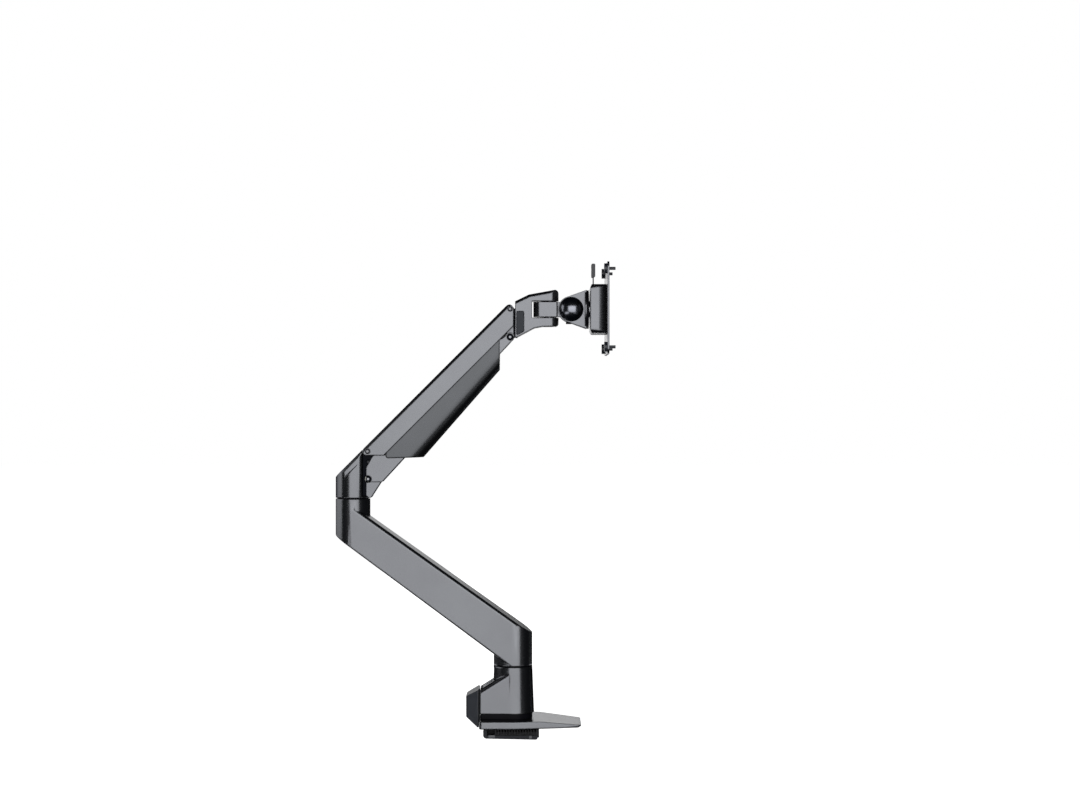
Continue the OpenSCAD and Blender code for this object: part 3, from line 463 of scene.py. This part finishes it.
# Place, size and radiance of each panel
PANELS = {
    "front": ((0.4, -2.6, 0.53), (3.4, 2.64), 2.8),
    "front_high": ((0.4, -2.55, 1.1), (3.4, 1.6), 0.6),
    "left": (ring_place(106, 1.8, 0.74), (2.3, 1.42), 1.7),
    "back": ((0, 2.6, 1.0), (3.0, 1.4), 1.1),
    "back_low": ((-0.45, 2.2, -1.1), (2.1, 1.0), 2.5),
    "right_back_low": (ring_place(-138, 2.4, -0.75), (1.6, 0.8), 2.2),
    "left_back_low": (ring_place(138, 2.4, -0.75), (1.6, 0.8), 2.0),
    "left_front_low": (ring_place(44, 2.4, -0.95), (1.7, 0.75), 2.2),
    "right_front_low": (ring_place(-52, 2.4, -0.80), (1.3, 0.6), 1.2),
}
PANEL_TARGET = (0, 0, 0.3)
ROOM_COLOR = (0.50, 0.66, 1.0, 1)
ROOM_STRENGTH = 0.012
WHITE = (1, 1, 1, 1)


def softbox(name, place, size, radiance):
    light = bpy.data.lights.new(name, "AREA")
    light.shape = "RECTANGLE"
    light.size, light.size_y = size
    light.energy = radiance * math.pi * light.size * light.size_y
    obj = aim(bpy.data.objects.new(name, light), place, PANEL_TARGET)
    obj.visible_camera = False


def studio():
    """A world that is white behind the object and dim in its reflections."""
    world = bpy.data.worlds.new("studio")
    world.use_nodes = True
    tree = world.node_tree
    tree.nodes.clear()
    dim = tree.nodes.new("ShaderNodeBackground")
    dim.inputs["Color"].default_value = ROOM_COLOR
    dim.inputs["Strength"].default_value = ROOM_STRENGTH
    white = tree.nodes.new("ShaderNodeBackground")
    white.inputs["Color"].default_value = WHITE
    white.inputs["Strength"].default_value = 1.0
    pick = tree.nodes.new("ShaderNodeMixShader")
    ray = tree.nodes.new("ShaderNodeLightPath")
    sky = tree.nodes.new("ShaderNodeOutputWorld")
    tree.links.new(ray.outputs["Is Camera Ray"], pick.inputs["Fac"])
    tree.links.new(dim.outputs[0], pick.inputs[1])
    tree.links.new(white.outputs[0], pick.inputs[2])
    tree.links.new(pick.outputs[0], sky.inputs["Surface"])
    return world


def pale_floor(height, reach):
    """A plain square floor that casts no light of its own on the object."""
    mesh = bpy.data.meshes.new("floor")
    corners = [(-reach, -reach, height), (reach, -reach, height), (reach, reach, height),
               (-reach, reach, height)]
    mesh.from_pydata(corners, [], [(0, 1, 2, 3)])
    floor = bpy.data.objects.new("floor", mesh)
    scene.collection.objects.link(floor)
    g = Graph("pale_floor")
    g.surface(g.ramp(g.noise(0.5, 1), (0.90, 0.90, 0.90), (0.92, 0.92, 0.92)),
              g.span(g.noise(4, 1), 0.85, 0.95), Emission_Color=WHITE, Emission_Strength=1.0)
    mesh.materials.append(g.mat)
    floor.visible_diffuse = False
    floor.visible_glossy = False
    floor.visible_shadow = False
    return floor


for name, (place, size, radiance) in PANELS.items():
    softbox(name, place, size, radiance)
scene.world = studio()
pale_floor(height=-0.05, reach=12)

scene.view_settings.view_transform = "Standard"
scene.view_settings.look = "None"
